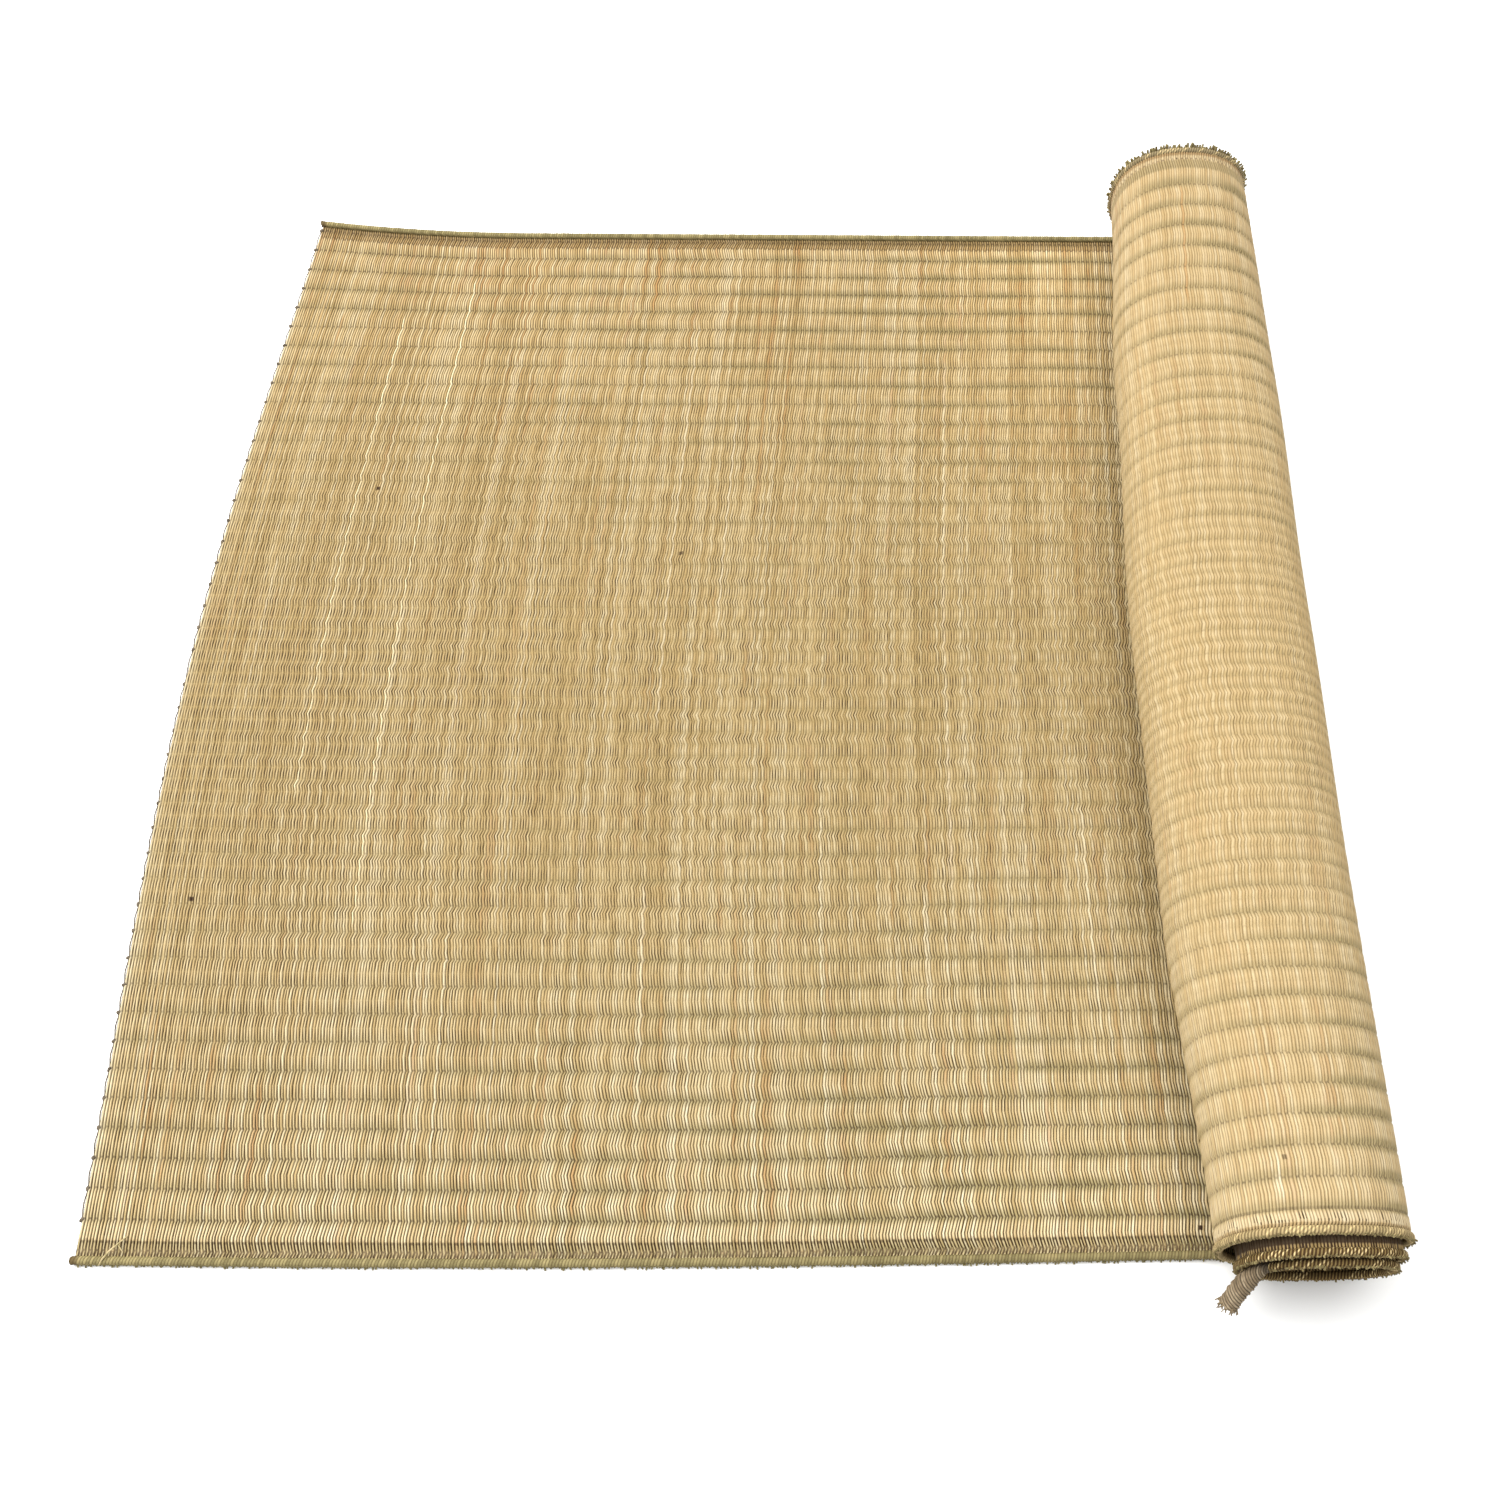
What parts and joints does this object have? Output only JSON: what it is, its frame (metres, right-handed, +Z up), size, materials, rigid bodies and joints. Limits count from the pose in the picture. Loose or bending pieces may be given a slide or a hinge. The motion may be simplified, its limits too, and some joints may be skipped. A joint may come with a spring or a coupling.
{
  "type": "woven grass floor mat, partly rolled up",
  "caption": "Floor mat of dried grass stems woven side by side, laid flat with its inner end rolled up, with corded long edges and a loose wrapped cord end.",
  "frame": {"origin": "middle of the whole mat's footprint, on the floor", "axes": "+X along the mat from its free end to the roll, +Y across it and away from the viewer, +Z up"},
  "size_m": [1.143, 1.244, 0.139],
  "materials": {
    "dried_grass": "dry woven grass stems, softly glossy",
    "edge_grass": "grass stems turned tightly over a cord",
    "wrapped_fibre": "matt twisted fibre, frayed at its tip"
  },
  "bodies": {
    "root": {"mat_sheet": "dried_grass", "near_edge_cord": "edge_grass", "far_edge_cord": "edge_grass", "cord_tail": "wrapped_fibre"}
  },
  "joints": []
}
